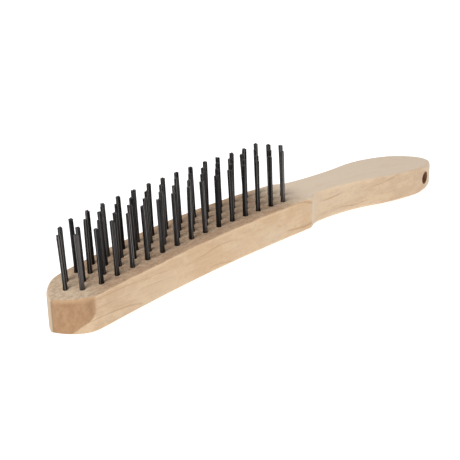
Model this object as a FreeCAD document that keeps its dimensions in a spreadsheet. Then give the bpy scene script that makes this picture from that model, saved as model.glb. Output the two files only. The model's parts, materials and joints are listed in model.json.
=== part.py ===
import FreeCAD, Part
import math
import os

import Sketcher
from FreeCAD import Placement, Rotation, Vector

# Hand wire brush: a curved hardwood block that is head and handle in one piece, with sixty
# tufts of steel wire, each folded over a flat steel anchor at the bottom of a blind hole.
#
# Frame, in millimetres: the brush lies on its back with the wires up, as it is put down on a
# bench. X runs along the brush, from the toe at -X to the end of the handle at +X. Y is across
# it, and Z is up from the bench, which the toe and the end of the handle touch. Left and right
# are as the hand that holds the handle sees them: left is -Y and right is +Y.

DIMENSIONS = {
    # Side view of the block.
    "overall_length": 290.0,
    "face_crown_place": -20.0,
    "face_crown_height": 26.1,
    "face_toe_radius": 860.0,
    "face_handle_radius": 1055.0,
    "back_arch_place": -26.0,
    "back_arch_height": 7.6,
    "back_toe_radius": 790.0,
    "back_handle_radius": 1380.0,
    "back_rest_radius": 60.0,
    # Plan view of the block: its widths, and the arcs that join them.
    "head_width": 35.0,
    "head_side_place": -60.0,
    "head_side_radius": 1825.0,
    "nose_radius": 31.0,
    "nose_half_angle": 68.0,
    "nose_corner_radius": 14.0,
    "shoulder_place": 20.0,
    "shoulder_radius": 5.0,
    "throat_radius": 21.0,
    "neck_width": 22.6,
    "neck_place": 44.0,
    "neck_radius": 175.0,
    "tail_width": 34.5,
    "tail_place": 103.5,
    "tail_corner_radius": 38.0,
    "tip_radius": 8.8,
    "saw_margin": 6.0,
    # Edges.
    "head_round": 1.0,
    "handle_round": 2.5,
    "rounder_start": 0.0,
    "rounder_end": 50.0,
    # Hole to hang the brush by.
    "hang_hole_diameter": 7.6,
    "hang_hole_place": 126.0,
    "hang_hole_height": 8.6,
    # Tufts and their holes.
    "tuft_pitch": 9.647,
    "row_pitch": 6.3,
    "row_stagger": 3.29,
    "first_tuft_place": -120.2,
    "first_row_offset": -8.8,
    "tuft_tilt": 2.12,
    "tuft_diameter": 2.4,
    "tuft_length": 28.2,
    "trim_place": -6.0,
    "trim_slope": 0.075,
    "foot_diameter": 2.7,
    "foot_height": 3.5,
    "splay_height": 4.0,
    "hole_diameter": 2.8,
    "hole_depth": 10.0,
    "tuft_seat_gap": 0.2,
    "anchor_thickness": 0.4,
    "anchor_height": 1.6,
    "anchor_length": 3.4,
    "anchor_lift": 1.3,
    "anchor_gap": 0.03,
}

ROWS = 4
TUFTS_PER_ROW = 14
# The four tufts ahead of the rows, in the round of the toe: along and across the brush.
TOE_TUFTS = {
    "tip": (-133.98, 1.1),
    "left": (-129.1, -5.7),
    "right": (-129.1, 7.3),
    "rear": (-124.12, 0.1),
}

# Height of an anchor's middle above the face, on the tuft's axis.
ANCHOR_CENTRE = "dims.tuft_seat_gap - dims.hole_depth + dims.anchor_lift + dims.anchor_height / 2"

TINY = 1e-6

doc = FreeCAD.newDocument("wire_brush")
dims = doc.addObject("Spreadsheet::Sheet", "dims")
for line, (name, value) in enumerate(DIMENSIONS.items(), start=1):
    dims.set(f"A{line}", name)
    dims.set(f"B{line}", str(value))
    dims.setAlias(f"B{line}", name)
doc.recompute()


def dim(name):
    """The number in the sheet's cell of that name."""
    return float(dims.get(name))


# ---------------------------------------------------------------- geometry helpers


def circle_meeting(centre_a, radius_a, centre_b, radius_b, side):
    """The point at radius_a from centre_a and radius_b from centre_b.

    side is +1 or -1, and picks the point to the left or right of the line from a to b.
    """
    across = centre_b - centre_a
    gap = across.Length
    along = (radius_a**2 - radius_b**2 + gap**2) / (2 * gap)
    height = math.sqrt(radius_a**2 - along**2)
    unit = across * (1 / gap)
    return centre_a + unit * along + Vector(-unit.y, unit.x, 0) * (height * side)


def toward(centre, point, radius):
    """The point at that radius from centre, in the direction of point."""
    return centre + (point - centre) * (radius / (point - centre).Length)


def arc_between(centre, radius, start, end):
    """A circle's arc from start to end, whichever way round is the shorter."""
    start_angle = math.atan2(start.y - centre.y, start.x - centre.x)
    end_angle = math.atan2(end.y - centre.y, end.x - centre.x)
    turn = (end_angle - start_angle + math.pi) % (2 * math.pi) - math.pi
    circle = Part.Circle(centre, Vector(0, 0, 1), radius)
    if turn > 0:
        return Part.ArcOfCircle(circle, start_angle, end_angle), True
    return Part.ArcOfCircle(circle, end_angle, start_angle), False


class Chain:
    """A closed run of lines and arcs in one sketch, joined end to end as it grows.

    A piece that is smooth is tangent to the piece before it, and any other only meets it.
    """

    def __init__(self, sketch, start):
        self.sketch = sketch
        self.here = start
        self.pieces = []

    def _join(self, before, index, first, kind):
        before_index, _, before_last = before
        joint = Sketcher.Constraint(kind, before_index, before_last, index, first)
        self.sketch.addConstraint(joint)

    def _add(self, geometry, forward, end, smooth):
        index = self.sketch.addGeometry(geometry, False)
        first, last = (1, 2) if forward else (2, 1)
        if self.pieces:
            self._join(self.pieces[-1], index, first, "Tangent" if smooth else "Coincident")
        self.pieces.append((index, first, last))
        self.here = end
        return index

    def line(self, end, smooth=False):
        return self._add(Part.LineSegment(self.here, end), True, end, smooth)

    def arc(self, centre, radius, end, smooth=True):
        geometry, forward = arc_between(centre, radius, self.here, end)
        return self._add(geometry, forward, end, smooth)

    def close(self):
        first_index, first, _ = self.pieces[0]
        self._join(self.pieces[-1], first_index, first, "Coincident")

    def start_of(self, index):
        """Which end of that piece the chain comes to first."""
        return self.pieces[index][1]

    def end_of(self, index):
        """Which end of that piece the chain leaves by."""
        return self.pieces[index][2]


def bound(sketch, constraint, name, expression):
    """Add a dimension to a sketch and tie it to the sheet."""
    index = sketch.addConstraint(constraint)
    sketch.renameConstraint(index, name)
    sketch.setExpression(f"Constraints.{name}", expression)


def origin_plane(body, role):
    """One of the body's own base planes."""
    return next(plane for plane in body.Origin.OriginFeatures if plane.Role == role)


def new_sketch(body, name, role):
    sketch = body.newObject("Sketcher::SketchObject", name)
    sketch.AttachmentSupport = [(origin_plane(body, role), "")]
    sketch.MapMode = "FlatFace"
    return sketch


def check_sketch(sketch):
    """Stop if the sketch can't be solved, or if anything in it is left free."""
    result = sketch.solve()
    if result != 0:
        raise RuntimeError(f"{sketch.Name} can't be solved: {result}")
    if sketch.DoF != 0:
        raise RuntimeError(f"{sketch.Name} has {sketch.DoF} free sizes")


# ---------------------------------------------------------------- side view


def face_height(place):
    """Height of the face that holds the wires, at that place along the brush."""
    crown = dim("face_crown_place")
    side = "toe" if place <= crown else "handle"
    return arch_height(place, crown, dim("face_crown_height"), dim(f"face_{side}_radius"))


def arch_height(place, crown, top, radius):
    """Height of a round arch of that radius whose crown is at (crown, top)."""
    return top - radius + math.sqrt(radius**2 - (place - crown) ** 2)


def rest_curve(arch, arch_radius, radius, side):
    """The arc that brings one end of the back's arch down level with the bench.

    side is -1 at the toe and +1 at the handle. Gives the arc's centre, and where it starts on
    the arch.
    """
    arch_centre = arch - Vector(0, arch_radius, 0)
    reach = arch_radius + radius
    drop = radius - arch_centre.y
    centre = Vector(arch.x + side * math.sqrt(reach**2 - drop**2), radius, 0)
    return centre, toward(arch_centre, centre, arch_radius)


def side_view(body):
    """The block's side: a crowned face above, and an arch below that meets the bench."""
    half = dim("overall_length") / 2
    crown = Vector(dim("face_crown_place"), dim("face_crown_height"), 0)
    toe_centre = crown - Vector(0, dim("face_toe_radius"), 0)
    handle_centre = crown - Vector(0, dim("face_handle_radius"), 0)
    toe_top = Vector(-half, face_height(-half), 0)
    end_top = Vector(half, face_height(half), 0)

    arch = Vector(dim("back_arch_place"), dim("back_arch_height"), 0)
    arch_toe_centre = arch - Vector(0, dim("back_toe_radius"), 0)
    arch_handle_centre = arch - Vector(0, dim("back_handle_radius"), 0)
    rest_radius = dim("back_rest_radius")
    handle_rest_centre, arch_end = rest_curve(arch, dim("back_handle_radius"), rest_radius, 1)
    toe_rest_centre, arch_start = rest_curve(arch, dim("back_toe_radius"), rest_radius, -1)
    end_bottom = Vector(half, 0, 0)
    toe_bottom = Vector(-half, 0, 0)

    sketch = new_sketch(body, "side_view", "XZ_Plane")
    chain = Chain(sketch, toe_top)
    face_toe = chain.arc(toe_centre, dim("face_toe_radius"), crown, smooth=False)
    face_handle = chain.arc(handle_centre, dim("face_handle_radius"), end_top)
    end = chain.line(end_bottom)
    handle_rest = chain.line(Vector(handle_rest_centre.x, 0, 0))
    handle_rise = chain.arc(handle_rest_centre, rest_radius, arch_end)
    back_handle = chain.arc(arch_handle_centre, dim("back_handle_radius"), arch)
    back_toe = chain.arc(arch_toe_centre, dim("back_toe_radius"), arch_start)
    toe_rise = chain.arc(toe_rest_centre, rest_radius, Vector(toe_rest_centre.x, 0, 0))
    toe_rest = chain.line(toe_bottom, smooth=True)
    toe = chain.line(toe_top)
    chain.close()
    sketch.addConstraint(Sketcher.Constraint("Vertical", end))
    sketch.addConstraint(Sketcher.Constraint("Vertical", toe))
    sketch.addConstraint(Sketcher.Constraint("PointOnObject", handle_rest, 1, -1))
    sketch.addConstraint(Sketcher.Constraint("PointOnObject", handle_rest, 2, -1))
    sketch.addConstraint(Sketcher.Constraint("PointOnObject", toe_rest, 1, -1))
    sketch.addConstraint(Sketcher.Constraint("PointOnObject", toe_rest, 2, -1))
    for curve, name, radius_name in (
        (face_toe, "face_toe_radius", "face_toe_radius"),
        (face_handle, "face_handle_radius", "face_handle_radius"),
        (back_handle, "back_handle_radius", "back_handle_radius"),
        (back_toe, "back_toe_radius", "back_toe_radius"),
        (handle_rise, "handle_rise_radius", "back_rest_radius"),
        (toe_rise, "toe_rise_radius", "back_rest_radius"),
    ):
        radius = Sketcher.Constraint("Radius", curve, dim(radius_name))
        bound(sketch, radius, name, f"dims.{radius_name}")
    for curve, name, value in (
        (face_toe, "face_crown_place", crown.x),
        (back_handle, "back_arch_place", arch.x),
    ):
        place = Sketcher.Constraint("DistanceX", -1, 1, curve, 3, value)
        bound(sketch, place, name, f"dims.{name}")
    for curve, name, radius_name in (
        (face_toe, "face_crown_height", "face_toe_radius"),
        (back_handle, "back_arch_height", "back_handle_radius"),
    ):
        drop = dim(name) - dim(radius_name)
        height = Sketcher.Constraint("DistanceY", -1, 1, curve, 3, drop)
        bound(sketch, height, name, f"dims.{name} - dims.{radius_name}")
    sketch.addConstraint(Sketcher.Constraint("Vertical", face_toe, 3, face_handle, 3))
    sketch.addConstraint(Sketcher.Constraint("Vertical", back_toe, 3, back_handle, 3))
    half_end = Sketcher.Constraint("DistanceX", -1, 1, end, 2, half)
    bound(sketch, half_end, "end_place", "dims.overall_length / 2")
    half_toe = Sketcher.Constraint("DistanceX", -1, 1, toe, 1, -half)
    bound(sketch, half_toe, "toe_place", "-dims.overall_length / 2")
    check_sketch(sketch)
    return sketch


# ---------------------------------------------------------------- plan view


def plan_cut(body):
    """What is sawn away on the right: everything outside half of the plan outline."""
    half = dim("overall_length") / 2
    margin = dim("saw_margin")
    side_limit = dim("head_width") / 2 + margin
    tip = Vector(-half, 0, 0)
    half_angle = math.radians(dim("nose_half_angle"))
    nose_radius = dim("nose_radius")
    nose_centre = tip + Vector(math.sin(half_angle), -math.cos(half_angle), 0) * nose_radius
    side_radius = dim("head_side_radius")
    side_centre = Vector(dim("head_side_place"), dim("head_width") / 2 - side_radius, 0)
    corner_radius = dim("nose_corner_radius")
    corner_centre = circle_meeting(
        nose_centre, nose_radius - corner_radius, side_centre, side_radius - corner_radius, -1
    )
    nose_end = toward(nose_centre, corner_centre, nose_radius)
    side_start = toward(side_centre, corner_centre, side_radius)

    shoulder_radius = dim("shoulder_radius")
    shoulder_x = dim("shoulder_place")
    shoulder_rise = math.sqrt(
        (side_radius - shoulder_radius) ** 2 - (shoulder_x - side_centre.x) ** 2
    )
    shoulder_centre = Vector(shoulder_x, side_centre.y + shoulder_rise, 0)
    neck_radius = dim("neck_radius")
    neck_centre = Vector(dim("neck_place"), dim("neck_width") / 2 + neck_radius, 0)
    throat_radius = dim("throat_radius")
    throat_centre = circle_meeting(
        shoulder_centre,
        shoulder_radius + throat_radius,
        neck_centre,
        neck_radius - throat_radius,
        -1,
    )
    side_end = toward(side_centre, shoulder_centre, side_radius)
    step = toward(shoulder_centre, throat_centre, shoulder_radius)
    throat_end = toward(neck_centre, throat_centre, neck_radius)

    tail_rise = (dim("tail_width") - dim("neck_width")) / 2
    tail_run = dim("tail_place") - dim("neck_place")
    tail_radius = (tail_run**2 + tail_rise**2) / (2 * tail_rise) - neck_radius
    tail_centre = Vector(dim("tail_place"), dim("tail_width") / 2 - tail_radius, 0)
    tip_radius = dim("tip_radius")
    tip_centre = Vector(half - tip_radius, 0, 0)
    tail_corner_radius = dim("tail_corner_radius")
    tail_corner_centre = circle_meeting(
        tail_centre,
        tail_radius - tail_corner_radius,
        tip_centre,
        tail_corner_radius - tip_radius,
        1,
    )
    neck_end = toward(neck_centre, tail_centre, neck_radius)
    tail_end = toward(tail_centre, tail_corner_centre, tail_radius)
    tip_start = toward(tail_corner_centre, tip_centre, tail_corner_radius)
    end = Vector(half, 0, 0)

    sketch = new_sketch(body, "plan_view", "XY_Plane")
    chain = Chain(sketch, tip)
    nose = chain.arc(nose_centre, nose_radius, nose_end)
    corner = chain.arc(corner_centre, corner_radius, side_start)
    side = chain.arc(side_centre, side_radius, side_end)
    shoulder = chain.arc(shoulder_centre, shoulder_radius, step)
    throat = chain.arc(throat_centre, throat_radius, throat_end)
    neck = chain.arc(neck_centre, neck_radius, neck_end)
    tail = chain.arc(tail_centre, tail_radius, tail_end)
    tail_corner = chain.arc(tail_corner_centre, tail_corner_radius, tip_start)
    handle_tip = chain.arc(tip_centre, tip_radius, end)
    frame = [
        chain.line(corner_point)
        for corner_point in (
            Vector(half + margin, 0, 0),
            Vector(half + margin, side_limit, 0),
            Vector(-half - margin, side_limit, 0),
            Vector(-half - margin, 0, 0),
            tip,
        )
    ]
    chain.close()
    for curve, name in (
        (nose, "nose_radius"),
        (corner, "nose_corner_radius"),
        (side, "head_side_radius"),
        (shoulder, "shoulder_radius"),
        (throat, "throat_radius"),
        (neck, "neck_radius"),
        (tail_corner, "tail_corner_radius"),
        (handle_tip, "tip_radius"),
    ):
        radius = Sketcher.Constraint("Radius", curve, dim(name))
        bound(sketch, radius, name, f"dims.{name}")
    for line, direction in zip(frame[:4], ("Horizontal", "Vertical", "Horizontal", "Vertical")):
        sketch.addConstraint(Sketcher.Constraint(direction, line))
    sketch.addConstraint(Sketcher.Constraint("PointOnObject", frame[4], 1, -1))
    frame_end = Sketcher.Constraint("DistanceX", -1, 1, frame[1], 1, half + margin)
    bound(sketch, frame_end, "frame_end", "dims.overall_length / 2 + dims.saw_margin")
    frame_toe = Sketcher.Constraint("DistanceX", -1, 1, frame[3], 1, -half - margin)
    bound(sketch, frame_toe, "frame_toe", "-dims.overall_length / 2 - dims.saw_margin")
    frame_side = Sketcher.Constraint("DistanceY", -1, 1, frame[2], 1, side_limit)
    bound(sketch, frame_side, "frame_side", "dims.head_width / 2 + dims.saw_margin")
    tail_curve = Sketcher.Constraint("Radius", tail, tail_radius)
    bound(
        sketch,
        tail_curve,
        "tail_radius",
        "((dims.tail_place - dims.neck_place)^2 + ((dims.tail_width - dims.neck_width) / 2)^2)"
        " / (dims.tail_width - dims.neck_width) - dims.neck_radius",
    )
    for curve, name, centre, expression in (
        (side, "head_side_place", side_centre, "dims.head_side_place"),
        (shoulder, "shoulder_place", shoulder_centre, "dims.shoulder_place"),
        (neck, "neck_place", neck_centre, "dims.neck_place"),
        (tail, "tail_place", tail_centre, "dims.tail_place"),
        (handle_tip, "tip_place", tip_centre, "dims.overall_length / 2 - dims.tip_radius"),
        (
            nose,
            "nose_place",
            nose_centre,
            "-dims.overall_length / 2 + dims.nose_radius * sin(dims.nose_half_angle * 1 deg)",
        ),
    ):
        place = Sketcher.Constraint("DistanceX", -1, 1, curve, 3, centre.x)
        bound(sketch, place, name, expression)
    for curve, name, centre, expression in (
        (side, "head_width", side_centre, "dims.head_width / 2 - dims.head_side_radius"),
        (neck, "neck_width", neck_centre, "dims.neck_width / 2 + dims.neck_radius"),
        (
            nose,
            "nose_half_angle",
            nose_centre,
            "-dims.nose_radius * cos(dims.nose_half_angle * 1 deg)",
        ),
    ):
        height = Sketcher.Constraint("DistanceY", -1, 1, curve, 3, centre.y)
        bound(sketch, height, name, expression)
    sketch.addConstraint(Sketcher.Constraint("PointOnObject", nose, chain.start_of(nose), -1))
    sketch.addConstraint(Sketcher.Constraint("PointOnObject", handle_tip, 3, -1))
    tip_end = chain.end_of(handle_tip)
    sketch.addConstraint(Sketcher.Constraint("PointOnObject", handle_tip, tip_end, -1))
    check_sketch(sketch)
    return sketch


def make_blank():
    """The block as sawn: its side view, wide enough, with its plan outline cut from it."""
    body = doc.addObject("PartDesign::Body", "blank")
    board = body.newObject("PartDesign::Pad", "board")
    board.Profile = side_view(body)
    board.SideType = "Symmetric"
    board.setExpression("Length", "dims.head_width + 4")
    doc.recompute()
    right_cut = body.newObject("PartDesign::Pocket", "right_cut")
    right_cut.Profile = plan_cut(body)
    right_cut.Type = "ThroughAll"
    right_cut.SideType = "Symmetric"
    doc.recompute()
    left_cut = body.newObject("PartDesign::Mirrored", "left_cut")
    left_cut.Originals = [right_cut]
    left_cut.MirrorPlane = (origin_plane(body, "XZ_Plane"), [""])
    body.Tip = left_cut
    doc.recompute()
    return body


def runs_along(edge):
    """True for an edge between a side and the face or back, and False for one across or up."""
    ends = edge.Vertexes[0].Point - edge.Vertexes[-1].Point
    return abs(ends.x) > TINY


def is_low(edge):
    """True for an edge at the block's back, and False for one at its face."""
    middle = edge.CenterOfMass
    return middle.z < face_height(middle.x) / 2


def edge_round(place):
    """The radius of a long edge at that place: crisper on the head than on the handle."""
    start = dim("rounder_start")
    share = (place - start) / (dim("rounder_end") - start)
    share = min(1.0, max(0.0, share))
    return dim("head_round") + (dim("handle_round") - dim("head_round")) * share


def make_rounded_block():
    """The blank with the long edges of its back rounded, and then those of its face.

    Each edge is given a radius at both of its ends, and changes evenly from one to the other.
    """
    rounded = blank
    for name, low in (("back_rounded", True), ("face_rounded", False)):
        base = rounded
        rounded = doc.addObject("Part::Fillet", name)
        rounded.Base = base
        rounded.Edges = [
            (number, *(edge_round(vertex.Point.x) for vertex in edge.Vertexes))
            for number, edge in enumerate(base.Shape.Edges, start=1)
            if runs_along(edge) and is_low(edge) == low
        ]
        doc.recompute()
    return rounded


# ---------------------------------------------------------------- tufts and their holes


def tuft_place(across, along):
    """Where a tuft of the lattice leaves the face."""
    x = dim("first_tuft_place") + along * dim("tuft_pitch") - across * dim("row_stagger")
    # Rows two to four start one tuft further on than the first.
    if across:
        x += dim("tuft_pitch")
    y = dim("first_row_offset") + across * dim("row_pitch")
    return Vector(x, y, face_height(x))


def tuft_groups():
    """Every tuft's place, by the name of the node that holds it."""
    groups = {}
    for along in range(TUFTS_PER_ROW):
        for side, rows in (("left", (0, 1)), ("right", (2, 3))):
            groups[f"tufts_{side}_{along + 1:02d}"] = [tuft_place(row, along) for row in rows]
    for name, (x, y) in TOE_TUFTS.items():
        groups[f"toe_tuft_{name}"] = [Vector(x, y, face_height(x))]
    return groups


def anchor_groups():
    """Every anchor's tuft place, by the name of the node that holds the anchor."""
    groups = {}
    for along in range(TUFTS_PER_ROW):
        rows = range(ROWS)
        groups[f"anchors_{along + 1:02d}"] = [tuft_place(row, along) for row in rows]
    groups["toe_anchors"] = [Vector(x, y, face_height(x)) for x, y in TOE_TUFTS.values()]
    return groups


def make_tuft():
    """One tuft on its own axis, with the face's surface at its origin and the wires up.

    The wires go down the hole, round under the anchor and up again. The anchor spreads them
    to fill the hole's end, and above it they close up to the tuft's own width.
    """
    body = doc.addObject("PartDesign::Body", "tuft")
    radius = dim("tuft_diameter") / 2
    foot_radius = dim("foot_diameter") / 2
    foot = dim("tuft_seat_gap") - dim("hole_depth")
    foot_top = foot + dim("foot_height")
    narrow = foot_top + dim("splay_height")
    sketch = new_sketch(body, "tuft_half", "XZ_Plane")
    chain = Chain(sketch, Vector(0, foot, 0))
    dome_centre = Vector(0, foot + foot_radius, 0)
    dome = chain.arc(dome_centre, foot_radius, Vector(foot_radius, dome_centre.y, 0), smooth=False)
    wall = chain.line(Vector(foot_radius, foot_top, 0), smooth=True)
    splay = chain.line(Vector(radius, narrow, 0))
    side = chain.line(Vector(radius, dim("tuft_length"), 0))
    top = chain.line(Vector(0, dim("tuft_length"), 0))
    axis = chain.line(Vector(0, foot, 0))
    chain.close()
    sketch.addConstraint(Sketcher.Constraint("Horizontal", top))
    sketch.addConstraint(Sketcher.Constraint("Vertical", wall))
    sketch.addConstraint(Sketcher.Constraint("Vertical", side))
    sketch.addConstraint(Sketcher.Constraint("PointOnObject", dome, 3, -2))
    sketch.addConstraint(Sketcher.Constraint("PointOnObject", axis, 1, -2))
    sketch.addConstraint(Sketcher.Constraint("PointOnObject", axis, 2, -2))
    foot_expression = "dims.tuft_seat_gap - dims.hole_depth"
    dome_radius = Sketcher.Constraint("Radius", dome, foot_radius)
    bound(sketch, dome_radius, "foot_radius", "dims.foot_diameter / 2")
    tuft_radius = Sketcher.Constraint("DistanceX", -1, 1, splay, 2, radius)
    bound(sketch, tuft_radius, "tuft_radius", "dims.tuft_diameter / 2")
    for line, point, name, height, expression in (
        (dome, 3, "foot_place", dome_centre.y, f"{foot_expression} + dims.foot_diameter / 2"),
        (wall, 2, "foot_top", foot_top, f"{foot_expression} + dims.foot_height"),
        (splay, 2, "narrow", narrow, f"{foot_expression} + dims.foot_height + dims.splay_height"),
        (side, 2, "tuft_length", dim("tuft_length"), "dims.tuft_length"),
    ):
        place = Sketcher.Constraint("DistanceY", -1, 1, line, point, height)
        bound(sketch, place, name, expression)
    check_sketch(sketch)
    rod = body.newObject("PartDesign::Revolution", "rod")
    rod.Profile = sketch
    rod.ReferenceAxis = (sketch, ["V_Axis"])
    rod.Angle = 360
    doc.recompute()
    return body


def trimmed(shape, place):
    """The tuft for one place: towards the heel the wires are trimmed further above the face."""
    extra = max(0.0, place.x - dim("trim_place")) * dim("trim_slope")
    if extra == 0:
        return shape
    # The longer tip starts inside the tuft, so that the two join into one solid.
    overlap = dim("tuft_diameter")
    start = Vector(0, 0, dim("tuft_length") - overlap)
    tip = Part.makeCylinder(dim("tuft_diameter") / 2, overlap + extra, start)
    return shape.fuse(tip).removeSplitter()


def make_box(name, thickness, height, length, centre_height):
    """A box standing on the tuft's axis, centred at that height, across the brush."""
    box = doc.addObject("Part::Box", name)
    box.setExpression("Length", thickness)
    box.setExpression("Width", length)
    box.setExpression("Height", height)
    box.setExpression("Placement.Base.x", f"-({thickness}) / 2")
    box.setExpression("Placement.Base.y", f"-({length}) / 2")
    box.setExpression("Placement.Base.z", f"{centre_height} - ({height}) / 2")
    return box


def make_drill():
    """What one hole takes out of the block: the bore, and the two bites of the anchor."""
    bore = doc.addObject("Part::Cylinder", "bore")
    bore.setExpression("Radius", "dims.hole_diameter / 2")
    bore.setExpression("Height", "dims.hole_depth + dims.saw_margin")
    bore.setExpression("Placement.Base.z", "-dims.hole_depth")
    bite = make_box(
        "bite",
        "dims.anchor_thickness + 2 * dims.anchor_gap",
        "dims.anchor_height + 2 * dims.anchor_gap",
        "dims.anchor_length + 2 * dims.anchor_gap",
        ANCHOR_CENTRE,
    )
    drill = doc.addObject("Part::Fuse", "drill")
    drill.Base = bore
    drill.Tool = bite
    doc.recompute()
    return drill


def placed(shape, place):
    """A copy of a tuft-axis shape at one tuft's place, leaning as all the tufts lean."""
    copy = shape.copy()
    lean = Rotation(Vector(0, 1, 0), -dim("tuft_tilt"))
    copy.Placement = Placement(place, lean).multiply(copy.Placement)
    return copy


def make_group(name, shapes, places):
    """Separate solids in one node: a shape on its own axis for each of the places."""
    group = doc.addObject("Part::Feature", name)
    solids = [placed(shape, place) for shape, place in zip(shapes, places)]
    group.Shape = Part.makeCompound(solids)
    return group


def make_handle_block(rounded, drill, places):
    """The finished block, with its blind holes and the hole to hang it by."""
    holes = make_group("holes", [drill.Shape] * len(places), places)
    drilled = doc.addObject("Part::Cut", "drilled_block")
    drilled.Base = rounded
    drilled.Tool = holes
    hang_drill = doc.addObject("Part::Cylinder", "hang_drill")
    hang_drill.setExpression("Radius", "dims.hang_hole_diameter / 2")
    hang_drill.setExpression("Height", "dims.head_width + 2 * dims.saw_margin")
    hang_drill.Placement = Placement(Vector(0, 0, 0), Rotation(Vector(1, 0, 0), 90))
    hang_drill.setExpression("Placement.Base.x", "dims.hang_hole_place")
    hang_drill.setExpression("Placement.Base.y", "dims.head_width / 2 + dims.saw_margin")
    hang_drill.setExpression("Placement.Base.z", "dims.hang_hole_height")
    block = doc.addObject("Part::Cut", "handle_block")
    block.Base = drilled
    block.Tool = hang_drill
    doc.recompute()
    return block


# ---------------------------------------------------------------- the brush

blank = make_blank()
rounded_block = make_rounded_block()
tufts = tuft_groups()
anchors = anchor_groups()
tuft_places = [place for places in tufts.values() for place in places]
block = make_handle_block(rounded_block, make_drill(), tuft_places)

tuft = doc.addObject("Part::Cut", "slotted_tuft")
tuft.Base = make_tuft()
tuft.Tool = make_box(
    "slot",
    "dims.anchor_thickness + 2 * dims.anchor_gap",
    "dims.anchor_height + 2 * dims.anchor_gap",
    "dims.anchor_length + 2 * dims.anchor_gap",
    ANCHOR_CENTRE,
)
anchor = make_box(
    "anchor",
    "dims.anchor_thickness",
    "dims.anchor_height",
    "dims.anchor_length",
    ANCHOR_CENTRE,
)
doc.recompute()

nodes = [block]
for name, places in tufts.items():
    nodes.append(make_group(name, [trimmed(tuft.Shape, place) for place in places], places))
for name, places in anchors.items():
    nodes.append(make_group(name, [anchor.Shape] * len(places), places))
doc.recompute()

for item in doc.Objects:
    if "Invalid" in item.State or "Error" in item.State:
        raise RuntimeError(f"{item.Label} failed: {item.State}")

os.makedirs("parts", exist_ok=True)
for node in nodes:
    if node.Shape.isNull() or not node.Shape.isValid():
        raise RuntimeError(f"{node.Label} has no valid shape")
    node.Shape.exportStep(f"parts/{node.Label}.step")
print(f"{len(nodes)} nodes, {sum(len(node.Shape.Solids) for node in nodes)} solids")
print(f"block {block.Shape.Volume:.0f} mm3, box {block.Shape.BoundBox}")
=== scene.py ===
import json
import math
import random

import bpy
from mathutils import Matrix, Vector


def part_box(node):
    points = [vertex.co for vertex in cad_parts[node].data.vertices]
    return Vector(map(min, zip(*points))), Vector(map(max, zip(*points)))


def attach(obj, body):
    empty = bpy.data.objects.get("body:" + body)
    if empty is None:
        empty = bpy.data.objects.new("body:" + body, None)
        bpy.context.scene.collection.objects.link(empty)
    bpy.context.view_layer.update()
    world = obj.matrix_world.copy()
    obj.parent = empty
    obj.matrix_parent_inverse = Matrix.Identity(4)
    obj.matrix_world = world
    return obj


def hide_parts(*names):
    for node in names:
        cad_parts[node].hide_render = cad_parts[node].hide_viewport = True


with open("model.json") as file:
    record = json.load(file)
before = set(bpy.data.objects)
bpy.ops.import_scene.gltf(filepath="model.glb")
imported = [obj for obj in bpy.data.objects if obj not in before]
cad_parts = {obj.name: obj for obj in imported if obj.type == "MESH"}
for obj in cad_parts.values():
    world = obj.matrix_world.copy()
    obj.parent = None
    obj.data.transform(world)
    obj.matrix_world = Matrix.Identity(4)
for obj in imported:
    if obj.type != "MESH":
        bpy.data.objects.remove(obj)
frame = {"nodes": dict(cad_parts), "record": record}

# The looks of a wooden hand wire brush: the block keeps its CAD shape and gets a bare beech
# finish, and every tuft is made again as a bundle of single folded wires. All in metres.

MM = 0.001

# Camera: above the bench, off the toe's near corner. Angles in degrees, lens in millimetres.
CAMERA_TARGET = Vector((-18.4, 8.5, 11.2)) * MM
CAMERA_DISTANCE = 609.7 * MM
CAMERA_HEADING = 44.09
CAMERA_DROP = 22.80
CAMERA_ROLL = -1.04
CAMERA_LENS = 87.76

# Wires. SHORT_WIRES is the share of legs that are cut short, by up to SHORT_BY.
WIRE_DIAMETER = 0.34 * MM
WIRE_SPACING = 0.345 * MM
WIRE_SIDES = 6
BUNDLE_DIAMETER = 2.4 * MM
ANCHOR_HALF_THICKNESS = 0.2 * MM
HOLE_RADIUS = 1.4 * MM
FOLD_HEIGHT = 1.25 * MM
ANCHOR_TOP = 2.9 * MM
TUFT_LEAN = 0.28 * MM
WIRE_LEAN = 0.07 * MM
WIRE_BOW = 0.06 * MM
WIRE_PLAY = 0.02 * MM
TRIM_ERROR = 0.30 * MM
SHORT_WIRES = 0.05
SHORT_BY = 1.6 * MM
# The heights of a leg's rings, from its cut end down, as shares of that end's height.
FREE_RINGS = (1.0, 0.84, 0.66, 0.48, 0.35, 0.30, 0.27, 0.22, 0.15, 0.11)
# In its hole a bundle is wider than above by MOUTH_SPREAD: fully so below MOUTH_SHARE of a
# leg's height, and not at all above FREE_SHARE.
MOUTH_SPREAD = 0.13
MOUTH_SHARE = 0.27
FREE_SHARE = 0.33
FOLD_STEPS = 6
# A tuft's tip is the middle of what its CAD solid has within this depth of its highest point.
TIP_DEPTH = 0.1 * MM
# How bright a wire's cut ends are, where 0 is the darkest wire and 1 the brightest.
END_TONE = 0.8

FLOOR_HALF_WIDTH = 3.0
FLOOR_GREY = (0.45, 0.45, 0.45, 1.0)
FLOOR_GLOW = 0.82
WHITE = (1.0, 1.0, 1.0, 1.0)
WORLD_STRENGTH = 0.47
# Each light's name, place, size and power.
LIGHTS = [
    ("key", (-1.2, -0.1, 2.8), 1.0, 68.0),
    ("fill", (0.9, -2.8, 1.3), 2.2, 5.0),
]

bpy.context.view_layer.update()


# ---------------------------------------------------------------- shader helper


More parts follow.
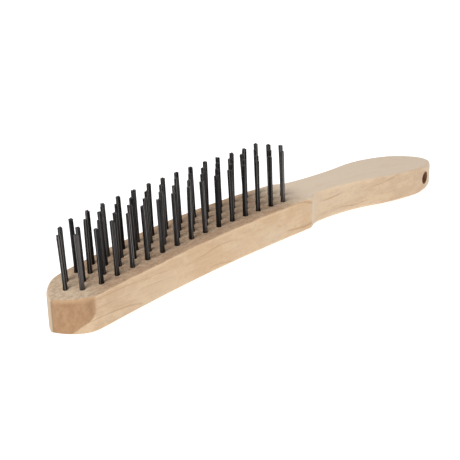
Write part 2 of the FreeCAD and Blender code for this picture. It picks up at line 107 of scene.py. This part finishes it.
class Shader:
    """A material whose nodes are added by short calls. Coordinates are the object's, in metres."""

    def __init__(self, name):
        self.material = bpy.data.materials.new(name)
        self.material.use_nodes = True
        self.tree = self.material.node_tree
        self.surface = self.tree.nodes["Principled BSDF"]
        self.place = self.tree.nodes.new("ShaderNodeTexCoord").outputs["Object"]
        normal = self.tree.nodes.new("ShaderNodeNewGeometry").outputs["Normal"]
        self.normal = self._split(normal)
        self.xyz = self._split(self.place)

    def _split(self, vector):
        node = self.tree.nodes.new("ShaderNodeSeparateXYZ")
        self.tree.links.new(vector, node.inputs[0])
        return node.outputs

    def _feed(self, socket, value):
        """Link a socket to another node's output, or set it to a constant."""
        if isinstance(value, bpy.types.NodeSocket):
            self.tree.links.new(value, socket)
        else:
            socket.default_value = value

    def math(self, operation, a, b=0.0):
        node = self.tree.nodes.new("ShaderNodeMath")
        node.operation = operation
        self._feed(node.inputs[0], a)
        self._feed(node.inputs[1], b)
        return node.outputs[0]

    def stretched(self, x, y, z):
        """Coordinates multiplied by that many cycles to the metre along each axis."""
        node = self.tree.nodes.new("ShaderNodeMapping")
        node.inputs["Scale"].default_value = (x, y, z)
        self._feed(node.inputs["Vector"], self.place)
        return node.outputs[0]

    def noise(self, vector, detail=3.0, roughness=0.5, distortion=0.0):
        node = self.tree.nodes.new("ShaderNodeTexNoise")
        node.inputs["Scale"].default_value = 1.0
        node.inputs["Detail"].default_value = detail
        node.inputs["Roughness"].default_value = roughness
        node.inputs["Distortion"].default_value = distortion
        self._feed(node.inputs["Vector"], vector)
        return node.outputs["Fac"]

    def step(self, value, low, high, to_low=0.0, to_high=1.0):
        """A smooth step: to_low up to low, to_high from high on."""
        node = self.tree.nodes.new("ShaderNodeMapRange")
        node.interpolation_type = "SMOOTHSTEP"
        self._feed(node.inputs["Value"], value)
        node.inputs["From Min"].default_value = low
        node.inputs["From Max"].default_value = high
        node.inputs["To Min"].default_value = to_low
        node.inputs["To Max"].default_value = to_high
        return node.outputs[0]

    def mix(self, factor, a, b):
        """Colour a, turning to colour b as the factor goes from 0 to 1."""
        node = self.tree.nodes.new("ShaderNodeMix")
        node.data_type = "RGBA"
        self._feed(node.inputs["Factor"], factor)
        self._feed(node.inputs[6], a)
        self._feed(node.inputs[7], b)
        return node.outputs[2]

    def attribute(self, name):
        node = self.tree.nodes.new("ShaderNodeAttribute")
        node.attribute_name = name
        return node.outputs["Fac"]

    def bump(self, height, distance, strength):
        node = self.tree.nodes.new("ShaderNodeBump")
        node.inputs["Distance"].default_value = distance
        node.inputs["Strength"].default_value = strength
        self._feed(node.inputs["Height"], height)
        self._feed(self.surface.inputs["Normal"], node.outputs[0])

    def plug(self, name, value):
        self._feed(self.surface.inputs[name], value)


def colour(red, green, blue):
    """A display colour, 0 to 255 a channel, as linear light."""
    channels = (c / 255 for c in (red, green, blue))
    linear = [c / 12.92 if c <= 0.04045 else ((c + 0.055) / 1.055) ** 2.4 for c in channels]
    return (*linear, 1.0)


# ---------------------------------------------------------------- materials

SIDE_PALE = colour(222, 198, 169)
SIDE_WARM = colour(216, 184, 149)
SIDE_LIGHT = colour(225, 199, 166)
SIDE_TOE = colour(206, 175, 142)
SIDE_HEEL = colour(214, 182, 146)
SIDE_NECK = colour(223, 199, 171)
SIDE_TAIL = colour(207, 178, 147)
# Paler colour for faces turned towards the handle: painted light.
SIDE_LIT_TOWARDS_HANDLE = colour(223, 205, 182)
# The head's face is darker than the handle's: painted shade of the tufts and of the face's tilt
# away from the light.
FACE_HEAD_SHADED = colour(182, 158, 134)
FACE_RIM = colour(193, 174, 149)
FACE_HANDLE = colour(202, 185, 165)
FACE_STREAK = colour(164, 139, 115)
FACE_WORN = colour(150, 121, 97)
FACE_GRIT = colour(126, 101, 80)
MARGIN = colour(160, 129, 101)
END_PALE = colour(182, 146, 112)
END_DARK = colour(162, 125, 92)
END_WARM = colour(186, 146, 108)
END_RIM = colour(200, 164, 128)
END_FAR_PALE_AND_LIT = colour(203, 182, 158)
END_CREASE = colour(138, 120, 103)
STREAK = colour(184, 152, 118)
RING = colour(168, 124, 86)
BORE_WALL_AND_SHADE = colour(172, 130, 104)
WIRE_DARK = colour(27, 25, 25)
WIRE_BRIGHT = colour(128, 124, 122)
WIRE_DRAWN = colour(92, 86, 82)
ANCHOR_DARK = (0.38, 0.38, 0.39, 1.0)
ANCHOR_BRIGHT = (0.55, 0.55, 0.56, 1.0)
ANCHOR_WORN = (0.24, 0.20, 0.17, 1.0)

# The end-grain patch reaches PATCH_FOOT back from the toe at height PATCH_LOW, which is below
# the bench, and PATCH_HEAD back from height PATCH_HIGH up. Its edge wavers by PATCH_RAGGED.
PATCH_FOOT = 4.5 * MM
PATCH_HEAD = 18.5 * MM
PATCH_LOW = -4.0 * MM
PATCH_HIGH = 15.5 * MM
PATCH_RAGGED = 4.0 * MM
# The end grain turns paler under the face, between these heights at the toe's point. The face
# rises from there by RIM_RISE for its distance back.
RIM_HEIGHTS = (14.6 * MM, 16.2 * MM)
RIM_RISE = 0.14
# The crease down the toe, on Y. The wood past it is paler: partly less end grain, partly painted
# light on that facet.
CREASE_PLACE = -1.3 * MM
# Where the wood's colour changes: places on X, except NEAR_FACE, which is heights.
TOE_SPAN = (-125 * MM, -75 * MM)
NECK_SPAN = (19 * MM, 32 * MM)
TAIL_SPAN = (50 * MM, 90 * MM)
NEAR_FACE = (13 * MM, 22 * MM)
HANDLE_FACE_SPAN = (-4 * MM, 30 * MM)


def end_patch(wood, ragged):
    """Where the toe shows end grain: further back near the face than at the bench."""
    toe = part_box("handle_block")[0].x
    edge = wood.step(wood.xyz[2], PATCH_LOW, PATCH_HIGH, toe + PATCH_FOOT, toe + PATCH_HEAD)
    edge = wood.math("ADD", edge, wood.math("MULTIPLY", ragged, PATCH_RAGGED))
    inside = wood.step(wood.math("SUBTRACT", edge, wood.xyz[0]), 0.0, 1.0 * MM)
    upright = wood.step(wood.math("ABSOLUTE", wood.normal[0]), 0.2, 0.35)
    return wood.math("MULTIPLY", inside, upright)


def end_grain(wood, pores, patches, ragged):
    """The colour of the cut toe: paler under the face, and from the crease by its point on, partly
    with painted light.
    """
    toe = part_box("handle_block")[0].x
    end = wood.mix(wood.step(pores, 0.30, 0.72), END_PALE, END_DARK)
    end = wood.mix(wood.step(patches, 0.40, 0.70, 0.0, 0.5), end, END_WARM)
    back = wood.math("SUBTRACT", wood.xyz[0], toe)
    under_face = wood.math("SUBTRACT", wood.xyz[2], wood.math("MULTIPLY", back, RIM_RISE))
    under_face = wood.math("ADD", under_face, wood.math("MULTIPLY", ragged, 3 * MM))
    end = wood.mix(wood.step(under_face, *RIM_HEIGHTS, 0.0, 0.4), end, END_RIM)
    past = wood.math("SUBTRACT", wood.xyz[1], CREASE_PLACE)
    # Past the crease: paler, partly painted light on that facet.
    end = wood.mix(wood.step(past, -0.2 * MM, 0.4 * MM, 0.0, 0.85), end, END_FAR_PALE_AND_LIT)
    crease = wood.step(wood.math("ABSOLUTE", past), 0.1 * MM, 0.7 * MM, 0.6, 0.0)
    return wood.mix(crease, end, END_CREASE)


def face_edge_strip(wood, ragged):
    """The strip along each long edge of the head's face, which turns browner."""
    low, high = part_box("handle_block")
    across = wood.math("ABSOLUTE", wood.xyz[1])
    across = wood.math("ADD", across, wood.math("MULTIPLY", ragged, 3.0 * MM))
    strip = wood.step(across, high.y - 8.0 * MM, high.y - 3.0 * MM)
    strip = wood.math("MULTIPLY", strip, wood.step(wood.xyz[0], low.x + 12 * MM, low.x + 30 * MM))
    strip = wood.math("MULTIPLY", strip, wood.step(wood.xyz[0], 2 * MM, 14 * MM, 1.0, 0.0))
    return wood.math("MULTIPLY", strip, wood.step(wood.normal[2], 0.3, 0.7))


def worn_and_shaded_face(wood, ragged):
    """The head's face between the toe and the heel, browner and blotched by work, and darker with
    painted shade among the tufts.
    """
    low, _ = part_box("handle_block")
    place = wood.math("ADD", wood.xyz[0], wood.math("MULTIPLY", ragged, 14 * MM))
    among = wood.step(place, low.x + 8 * MM, low.x + 30 * MM)
    return wood.math("MULTIPLY", among, wood.step(place, -8 * MM, 14 * MM, 1.0, 0.0))


def inside_hang_hole(wood):
    """The wall of the hole to hang the brush by, from the place that the record gives. It is
    darker brown: its cut grain, and painted shade inside the hole.
    """
    hole = next(mount for mount in frame["record"]["mounts"] if mount["name"] == "hang_hole")
    x, _, z = hole["pos_m"]
    beside = wood.math("POWER", wood.math("SUBTRACT", wood.xyz[0], x), 2.0)
    above = wood.math("POWER", wood.math("SUBTRACT", wood.xyz[2], z), 2.0)
    distance = wood.math("SQRT", wood.math("ADD", beside, above))
    radius = hole["dims"]["r_mm"] * MM
    return wood.step(distance, radius + 0.02 * MM, radius + 0.25 * MM, 1.0, 0.0)


def beech_noises(wood):
    """The patterns that the beech's colours share, from the finest fibres to wide patches."""
    return {
        "fibres": wood.noise(wood.stretched(34, 1500, 1500), detail=4, roughness=0.6),
        "streaks": wood.noise(wood.stretched(9, 300, 300), detail=3, distortion=0.5),
        "patches": wood.noise(wood.stretched(24, 80, 80), detail=3),
        "flecks": wood.noise(wood.stretched(420, 2600, 2600), detail=1),
        "blotches": wood.noise(wood.stretched(90, 190, 190), detail=4, roughness=0.6),
        "specks": wood.noise(wood.stretched(330, 560, 560), detail=4, roughness=0.7),
    }


def growth_rings(wood):
    """Long lines that wander slowly up and down along the brush, and fade out here and there."""
    wander = wood.noise(wood.stretched(11, 30, 30), detail=2, roughness=0.4)
    depth = wood.math("MULTIPLY", wood.xyz[2], 900.0)
    depth = wood.math("ADD", depth, wood.math("MULTIPLY", wood.xyz[1], 500.0))
    rings = wood.math("SINE", wood.math("ADD", depth, wood.math("MULTIPLY", wander, 30.0)))
    breaks = wood.step(wood.noise(wood.stretched(26, 160, 160), detail=2), 0.40, 0.56)
    return wood.math("MULTIPLY", wood.step(rings, 0.93, 1.0), breaks)


def side_wood(wood, noises, ragged):
    """The colour of the sides and back: browner by the face, toe and tail, pale at the neck, and
    paler with painted light where they face the handle.
    """
    side = wood.mix(wood.step(noises["patches"], 0.36, 0.66), SIDE_PALE, SIDE_WARM)
    near_face = wood.math("ADD", wood.xyz[2], wood.math("MULTIPLY", ragged, 8 * MM))
    side = wood.mix(wood.step(near_face, *NEAR_FACE, 0.0, 0.6), side, SIDE_HEEL)
    side = wood.mix(wood.step(wood.xyz[0], *NECK_SPAN, 0.0, 0.75), side, SIDE_NECK)
    side = wood.mix(wood.step(wood.xyz[0], *TAIL_SPAN, 0.0, 0.75), side, SIDE_TAIL)
    side = wood.mix(wood.step(wood.xyz[0], *TOE_SPAN, 0.75, 0.0), side, SIDE_TOE)
    side = wood.mix(wood.step(noises["streaks"], 0.50, 0.76, 0.0, 0.30), side, STREAK)
    side = wood.mix(wood.step(noises["blotches"], 0.44, 0.62, 0.0, 0.6), side, SIDE_LIGHT)
    side = wood.mix(wood.step(noises["specks"], 0.48, 0.66, 0.0, 0.20), side, STREAK)
    side = wood.mix(wood.math("MULTIPLY", growth_rings(wood), 0.42), side, RING)
    # Faces turned towards the handle are painted paler: painted light.
    painted_light_towards_handle = wood.step(wood.normal[0], 0.12, 0.5, 0.0, 0.8)
    return wood.mix(painted_light_towards_handle, side, SIDE_LIT_TOWARDS_HANDLE)


def face_wood(wood, noises, ragged):
    """The colour of the face: speckled and worn on the head, with painted shade among the tufts,
    and clean on the handle.
    """
    speckled = wood.step(noises["specks"], 0.42, 0.60)
    head = wood.mix(wood.math("MULTIPLY", speckled, 0.75), FACE_RIM, FACE_STREAK)
    # The head's base colour here is painted shade; the speckle, blotches and grit over it are wear
    # and dirt.
    worn = wood.mix(wood.math("MULTIPLY", speckled, 0.85), FACE_HEAD_SHADED, FACE_WORN)
    worn = wood.mix(wood.step(noises["blotches"], 0.42, 0.66, 0.0, 0.35), worn, FACE_WORN)
    grit = wood.noise(wood.stretched(900, 1300, 1300), detail=2, roughness=0.6)
    worn = wood.mix(wood.step(grit, 0.50, 0.66, 0.0, 0.6), worn, FACE_GRIT)
    worn = wood.mix(wood.step(grit, 0.34, 0.46, 0.4, 0.0), worn, FACE_RIM)
    head = wood.mix(worn_and_shaded_face(wood, ragged), head, worn)
    face = wood.mix(wood.step(wood.xyz[0], *HANDLE_FACE_SPAN), head, FACE_HANDLE)
    face = wood.mix(wood.step(noises["streaks"], 0.45, 0.75, 0.0, 0.12), face, FACE_STREAK)
    return wood.mix(wood.math("MULTIPLY", face_edge_strip(wood, ragged), 0.40), face, MARGIN)


def beech_material():
    """Bare sanded beech with the fibres along X: greyer on the face, darker on end grain."""
    wood = Shader("bare_beech")
    noises = beech_noises(wood)
    ragged = wood.math("SUBTRACT", noises["blotches"], 0.5)
    side = side_wood(wood, noises, ragged)
    face = face_wood(wood, noises, ragged)
    upward = wood.math("ADD", wood.normal[2], wood.math("MULTIPLY", ragged, 0.7))
    body = wood.mix(wood.step(upward, 0.50, 0.98), side, face)

    pores = wood.noise(wood.stretched(500, 500, 300), detail=4, roughness=0.65)
    end = end_grain(wood, pores, noises["patches"], ragged)
    body = wood.mix(end_patch(wood, ragged), body, end)

    body = wood.mix(wood.step(noises["fibres"], 0.50, 0.78, 0.0, 0.26), body, STREAK)
    body = wood.mix(wood.step(noises["flecks"], 0.66, 0.82, 0.0, 0.35), body, RING)
    # The hang hole's wall: cut grain, and painted shade inside the hole.
    body = wood.mix(inside_hang_hole(wood), body, BORE_WALL_AND_SHADE)
    wood.plug("Base Color", body)
    wood.plug("Roughness", wood.step(noises["fibres"], 0.2, 0.8, 0.62, 0.78))
    wood.plug("Specular IOR Level", 0.25)
    relief = wood.math("ADD", noises["fibres"], wood.math("MULTIPLY", noises["flecks"], 0.5))
    wood.bump(relief, 0.1 * MM, 0.3)
    return wood.material


def wire_material():
    """Dark drawn steel wire: each wire has a tone of its own, and the cut ends are brighter."""
    wire = Shader("dark_steel_wire")
    tone = wire.attribute("tone")
    drawn = wire.noise(wire.stretched(2500, 2500, 90), detail=2)
    steel = wire.mix(tone, WIRE_DARK, WIRE_BRIGHT)
    steel = wire.mix(wire.step(drawn, 0.5, 0.8, 0.0, 0.35), steel, WIRE_DRAWN)
    wire.plug("Base Color", steel)
    wire.plug("Metallic", 0.75)
    wire.plug("Roughness", wire.step(drawn, 0.3, 0.7, 0.34, 0.52))
    wire.bump(drawn, 0.02 * MM, 0.3)
    return wire.material


def anchor_material():
    """Bare flat steel wire, with fine marks from the rolls along it."""
    steel = Shader("flat_steel_wire")
    rolled = steel.noise(steel.stretched(3000, 150, 3000), detail=2)
    worn = steel.noise(steel.stretched(600, 600, 600), detail=3)
    clean = steel.mix(rolled, ANCHOR_DARK, ANCHOR_BRIGHT)
    body = steel.mix(steel.step(worn, 0.55, 0.75, 0.0, 0.5), clean, ANCHOR_WORN)
    steel.plug("Base Color", body)
    steel.plug("Metallic", 1.0)
    steel.plug("Roughness", steel.step(rolled, 0.3, 0.7, 0.28, 0.45))
    steel.bump(rolled, 0.02 * MM, 0.4)
    return steel.material


def give_material(piece, material):
    piece.data.materials.clear()
    piece.data.materials.append(material)


# ---------------------------------------------------------------- tufts


def tuft_ends(node):
    """Each tuft's foot and tip in a CAD node, from the node's own mesh.

    The tufts of a node lie in different rows, so a gap across the brush parts them.
    """
    points = sorted((v.co.copy() for v in frame["nodes"][node].data.vertices), key=lambda p: p.y)
    tufts = [[points[0]]]
    for point in points[1:]:
        if point.y - tufts[-1][-1].y > BUNDLE_DIAMETER / 2:
            tufts.append([])
        tufts[-1].append(point)
    ends = []
    for tuft in tufts:
        top = max(p.z for p in tuft)
        rim = [p for p in tuft if p.z > top - TIP_DEPTH]
        middle = Vector(sum(p[axis] for p in rim) / len(rim) for axis in range(3))
        ends.append((min(tuft, key=lambda p: p.z), middle))
    return ends


def wire_layout():
    """Where the wires of half a bundle stand: distance from the anchor, and place along it."""
    reach = (BUNDLE_DIAMETER - WIRE_DIAMETER) / 2
    column_pitch = WIRE_SPACING * math.sin(math.radians(60))
    places = []
    column = 0
    while (column + 0.5) * column_pitch < reach:
        out = (column + 0.5) * column_pitch
        start = WIRE_SPACING / 2 if column % 2 else 0.0
        steps = int(reach / WIRE_SPACING) + 1
        for step in range(-steps, steps + 1):
            along = start + step * WIRE_SPACING
            if math.hypot(out, along) <= reach:
                places.append((out, along))
        column += 1
    return places


def beside_anchor(out, widest):
    """How far from the middle a wire stands where the anchor parts the bundle."""
    nearest = ANCHOR_HALF_THICKNESS + WIRE_DIAMETER / 2
    furthest = HOLE_RADIUS - WIRE_DIAMETER
    return nearest + (furthest - nearest) * out / widest


def free_leg(length, out, along, parted, lean, draw):
    """One leg of a folded wire, from its cut end down to the fold, in the tuft's own axes."""
    end_height = length - abs(draw.gauss(0, TRIM_ERROR))
    if draw.random() < SHORT_WIRES:
        end_height -= draw.uniform(0, SHORT_BY)
    stray = [draw.gauss(0, WIRE_LEAN), draw.gauss(0, WIRE_LEAN)]
    bow = [draw.gauss(0, WIRE_BOW), draw.gauss(0, WIRE_BOW)]
    shift = [draw.gauss(0, WIRE_PLAY), draw.gauss(0, WIRE_PLAY)]
    points = []
    for share in FREE_RINGS:
        height = end_height * share
        rise = max(0.0, (share - FREE_RINGS[-1]) / (1 - FREE_RINGS[-1]))
        belly = 4 * rise * (1 - rise)
        inside = min(1.0, max(0.0, (FREE_SHARE - share) / (FREE_SHARE - MOUTH_SHARE)))
        spread = 1 + MOUTH_SPREAD * inside
        x = out * spread + shift[0] + (lean[0] + stray[0]) * rise**1.5 + bow[0] * belly
        y = along * spread + shift[1] + (lean[1] + stray[1]) * rise**1.5 + bow[1] * belly
        points.append(Vector((x, y, height)))
    points.append(Vector((parted, along, ANCHOR_TOP)))
    return points


def wire_points(length, out, along, widest, lean, draw):
    """A folded wire's middle line: down one leg, round under the anchor, and up the other."""
    parted = beside_anchor(out, widest)
    down = free_leg(length, out, along, parted, lean, draw)
    up = free_leg(length, -out, along, -parted, lean, draw)
    fold = []
    for step in range(FOLD_STEPS + 1):
        turn = math.pi * step / FOLD_STEPS
        height = FOLD_HEIGHT - parted * math.sin(turn)
        fold.append(Vector((parted * math.cos(turn), along, height)))
    return down + fold + up[::-1]


def add_wire(points, to_row, vertices, faces):
    """Add one wire to the lists: a ring at each point, a wall between rings, and two cut ends."""
    first = len(vertices)
    across = Vector((0, 1, 0))
    last = len(points) - 1
    for index, point in enumerate(points):
        ahead = points[min(index + 1, last)] - points[max(index - 1, 0)]
        outward = ahead.cross(across).normalized()
        for side in range(WIRE_SIDES):
            turn = 2 * math.pi * side / WIRE_SIDES
            spoke = across * math.cos(turn) + outward * math.sin(turn)
            vertices.append(to_row @ (point + spoke * (WIRE_DIAMETER / 2)))
    for ring in range(last):
        for side in range(WIRE_SIDES):
            here = first + ring * WIRE_SIDES
            ahead = (side + 1) % WIRE_SIDES
            quad = (here + side, here + side + WIRE_SIDES, here + ahead + WIRE_SIDES, here + ahead)
            faces.append(quad)
    last_ring = first + last * WIRE_SIDES
    faces.append(tuple(first + side for side in range(WIRE_SIDES)))
    faces.append(tuple(last_ring + side for side in reversed(range(WIRE_SIDES))))


def tuft_axes(foot, tip):
    """The turn and shift from a tuft's own axes to the row's, and the tuft's length."""
    up = (tip - foot).normalized()
    across = Vector((0, 1, 0))
    along = across.cross(up).normalized()
    turn = Matrix((along, across, up)).transposed().to_4x4()
    return Matrix.Translation(foot) @ turn, (tip - foot).length


def make_wires(node, material):
    """The wires of every tuft in a CAD node, as one piece that stands for the node."""
    draw = random.Random(node)
    layout = wire_layout()
    widest = max(out for out, _ in layout)
    vertices, faces, tones = [], [], []
    for foot, tip in tuft_ends(node):
        to_row, length = tuft_axes(foot, tip)
        lean = (draw.gauss(0, TUFT_LEAN), draw.gauss(0, TUFT_LEAN))
        for out, along in layout:
            faces_before = len(faces)
            points = wire_points(length, out, along, widest, lean, draw)
            add_wire(points, to_row, vertices, faces)
            walls = len(faces) - faces_before - 2
            tones += [draw.random() ** 3] * walls + [END_TONE, END_TONE]
    mesh = bpy.data.meshes.new("wires_" + node)
    mesh.from_pydata(vertices, [], faces)
    mesh.attributes.new("tone", "FLOAT", "FACE").data.foreach_set("value", tones)
    mesh.shade_smooth()
    mesh.set_sharp_from_angle(angle=math.radians(60))
    piece = bpy.data.objects.new("wires_" + node, mesh)
    bpy.context.scene.collection.objects.link(piece)
    give_material(piece, material)
    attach(piece, "root")
    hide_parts(node)


# ---------------------------------------------------------------- stage


def make_camera():
    heading = math.radians(CAMERA_HEADING)
    drop = math.radians(CAMERA_DROP)
    roll = math.radians(CAMERA_ROLL)
    level = math.cos(drop)
    ahead = Vector((math.sin(heading) * level, math.cos(heading) * level, -math.sin(drop)))
    right = Vector((math.cos(heading), -math.sin(heading), 0))
    up = right.cross(ahead)
    rolled_right = right * math.cos(roll) + up * math.sin(roll)
    rolled_up = rolled_right.cross(ahead)
    data = bpy.data.cameras.new("camera")
    data.lens = CAMERA_LENS
    camera = bpy.data.objects.new("camera", data)
    turn = Matrix((rolled_right, rolled_up, -ahead)).transposed().to_4x4()
    camera.matrix_world = Matrix.Translation(CAMERA_TARGET - ahead * CAMERA_DISTANCE) @ turn
    bpy.context.scene.collection.objects.link(camera)
    bpy.context.scene.camera = camera


def make_floor():
    """A wide, plain, almost white floor."""
    half = FLOOR_HALF_WIDTH
    mesh = bpy.data.meshes.new("floor")
    corners = [(-half, -half, 0), (half, -half, 0), (half, half, 0), (-half, half, 0)]
    mesh.from_pydata(corners, [], [(0, 1, 2, 3)])
    floor = bpy.data.objects.new("floor", mesh)
    bpy.context.scene.collection.objects.link(floor)
    paint = Shader("floor_paint")
    paint.plug("Base Color", FLOOR_GREY)
    paint.plug("Roughness", 0.9)
    paint.plug("Specular IOR Level", 0.1)
    paint.plug("Emission Color", WHITE)
    paint.plug("Emission Strength", FLOOR_GLOW)
    give_material(floor, paint.material)


def add_soft_light(name, place, size, power):
    data = bpy.data.lights.new(name, "AREA")
    data.shape = "DISK"
    data.size = size
    data.energy = power
    light = bpy.data.objects.new(name, data)
    light.location = place
    light.rotation_euler = (-Vector(place)).to_track_quat("-Z", "Y").to_euler()
    bpy.context.scene.collection.objects.link(light)


def make_light():
    world = bpy.data.worlds.new("studio")
    world.use_nodes = True
    background = world.node_tree.nodes["Background"]
    background.inputs["Color"].default_value = WHITE
    background.inputs["Strength"].default_value = WORLD_STRENGTH
    bpy.context.scene.world = world
    for name, place, size, power in LIGHTS:
        add_soft_light(name, place, size, power)
    bpy.context.scene.view_settings.view_transform = "Standard"


# ---------------------------------------------------------------- the brush

make_camera()
make_floor()
make_light()

beech = beech_material()
dark_wire = wire_material()
flat_wire = anchor_material()
for name, node in frame["nodes"].items():
    if "anchors" in name:
        give_material(node, flat_wire)
    elif "tuft" in name:
        make_wires(name, dark_wire)
    else:
        give_material(node, beech)
